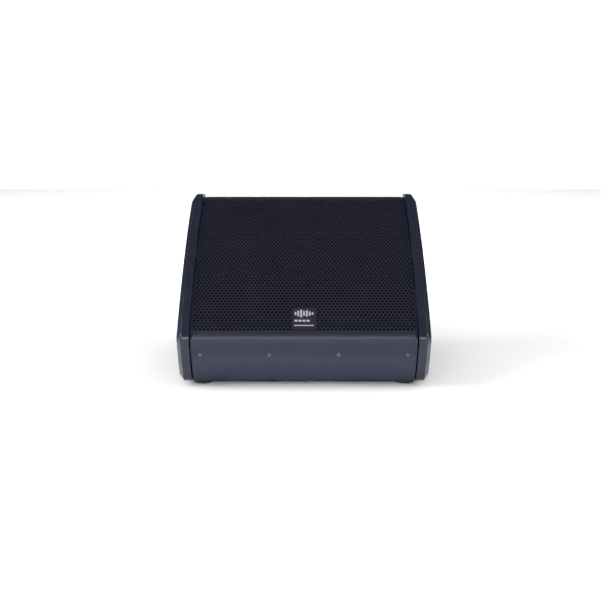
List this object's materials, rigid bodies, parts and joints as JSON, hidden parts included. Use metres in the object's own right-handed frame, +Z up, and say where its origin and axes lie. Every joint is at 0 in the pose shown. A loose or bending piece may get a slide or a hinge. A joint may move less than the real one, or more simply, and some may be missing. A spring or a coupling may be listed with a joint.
{
  "type": "stage monitor wedge",
  "caption": "Sloped floor loudspeaker with a bowed perforated grille, moulded side cheeks, a coaxial driver and a rear amplifier panel with knobs, sockets and a power switch.",
  "frame": {"origin": "middle of the footprint of the whole object's bounding box, on the floor under the rubber feet", "axes": "+Z up, +X to the right as the listener faces the grille, -Y towards the listener"},
  "size_m": [0.445, 0.4288, 0.3198],
  "materials": {
    "cheek_plastic": "satin moulded",
    "cup_plastic": "moulded",
    "cabinet_paint": "textured black paint on plywood",
    "baffle_paint": "matt black paint on plywood",
    "grille_paint": "black powder coat on perforated steel",
    "foam_black": "open-cell foam",
    "wadding": "polyester wadding",
    "badge_plate": "black anodised",
    "badge_mark": "bright",
    "screw_black": "black zinc",
    "pole_cup": "black cast",
    "foot_rubber": "matt",
    "port_plastic": "moulded",
    "driver_cast": "black cast",
    "gasket_foam": "closed-cell foam",
    "surround_cloth": "treated cloth",
    "cone_paper": "ribbed paper",
    "coil_copper": "enamelled wire",
    "spider_cloth": "impregnated cloth",
    "magnet_steel": "zinc plated",
    "ferrite": "ferrite",
    "horn_plastic": "moulded",
    "diaphragm_foil": "thin foil",
    "plate_paint": "black powder coat",
    "heatsink_black": "black anodised",
    "housing_steel": "zinc plated",
    "circuit_board": "solder mask",
    "transformer_wrap": "taped toroid",
    "capacitor_sleeve": "sleeved cans",
    "socket_black": "moulded",
    "latch_metal": "nickel",
    "mains_blue": "moulded",
    "mains_grey": "moulded",
    "bezel_black": "moulded",
    "rocker_plastic": "moulded",
    "knob_plastic": "soft touch",
    "button_plastic": "moulded",
    "light_pipe": "light pipes",
    "lead_jacket": "flexible jacket"
  },
  "bodies": {
    "cabinet": {"amp_board": "circuit_board", "amp_housing": "housing_steel", "amp_plate": "plate_paint", "amp_screws": "screw_black", "badge_emblem": "badge_mark", "badge_plate": "badge_plate", "baffle": "baffle_paint", "bottom_panel": "cabinet_paint", "capacitors": "capacitor_sleeve", "cheek_left": "cheek_plastic", "cheek_right": "cheek_plastic", "cheek_screws": "screw_black", "damping_pad": "wadding", "driver_frame": "driver_cast", "driver_gasket": "gasket_foam", "driver_screws": "screw_black", "ferrite_magnet": "ferrite", "foot_front_left": "foot_rubber", "foot_front_right": "foot_rubber", "foot_rear_left": "foot_rubber", "foot_rear_right": "foot_rubber", "foot_screws": "screw_black", "grille": "grille_paint", "grille_foam": "foam_black", "grille_screws": "screw_black", "handle_cup_left": "cup_plastic", "handle_cup_right": "cup_plastic", "heatsink": "heatsink_black", "hf_diaphragm": "diaphragm_foil", "hf_driver_body": "driver_cast", "hf_horn": "horn_plastic", "hf_rear_cap": "horn_plastic", "kick_panel": "cabinet_paint", "magnet_top_plate": "magnet_steel", "magnet_yoke": "magnet_steel", "mains_inlet": "mains_blue", "mains_link": "mains_grey", "pole_cup": "pole_cup", "port_tube_left": "port_plastic", "port_tube_right": "port_plastic", "rear_panel": "cabinet_paint", "side_panel_left": "cabinet_paint", "side_panel_right": "cabinet_paint", "speaker_lead": "lead_jacket", "status_lights": "light_pipe", "switch_bezel": "bezel_black", "top_rail": "baffle_paint", "transformer": "transformer_wrap", "woofer_spider": "spider_cloth", "woofer_surround": "surround_cloth", "xlr_input": "socket_black", "xlr_link": "socket_black"},
    "cone_assembly": {"woofer_cone": "cone_paper", "voice_coil": "coil_copper"},
    "level_knob": {"level_knob": "knob_plastic"},
    "preset_knob": {"preset_knob": "knob_plastic"},
    "low_cut_button": {"low_cut_button": "button_plastic"},
    "ground_lift_button": {"ground_lift_button": "button_plastic"},
    "power_rocker": {"power_rocker": "rocker_plastic"},
    "input_latch": {"input_latch": "latch_metal"}
  },
  "joints": [
    {"name": "cone_travel", "type": "slide", "parent": "cabinet", "child": "cone_assembly", "axis": [0, -0.5838, 0.8119], "range_m": [-0.005, 0.005], "stiffness_N_per_m": 4000, "deforming": ["woofer_surround", "woofer_spider"]},
    {"name": "level_turn", "type": "hinge", "parent": "cabinet", "child": "level_knob", "pos_m": [-0.028, 0.1675, 0.16909], "axis": [0, -0.976, -0.2176], "range_deg": [-140, 140]},
    {"name": "preset_turn", "type": "hinge", "parent": "cabinet", "child": "preset_knob", "pos_m": [-0.07, 0.1675, 0.16909], "axis": [0, -0.976, -0.2176], "range_deg": [-75, 75]},
    {"name": "low_cut_press", "type": "slide", "parent": "cabinet", "child": "low_cut_button", "axis": [0, -0.976, -0.2176], "range_m": [0, 0.0015], "stiffness_N_per_m": 800, "springref_m": -0.001},
    {"name": "ground_lift_press", "type": "slide", "parent": "cabinet", "child": "ground_lift_button", "axis": [0, -0.976, -0.2176], "range_m": [0, 0.0015], "stiffness_N_per_m": 800, "springref_m": -0.001},
    {"name": "power_rock", "type": "hinge", "parent": "cabinet", "child": "power_rocker", "pos_m": [-0.112, 0.17604, 0.11976], "axis": [1, 0, 0], "range_deg": [0, 20]},
    {"name": "latch_press", "type": "slide", "parent": "cabinet", "child": "input_latch", "axis": [0, -0.976, -0.2176], "range_m": [0, 0.0015], "stiffness_N_per_m": 800, "springref_m": -0.001}
  ]
}
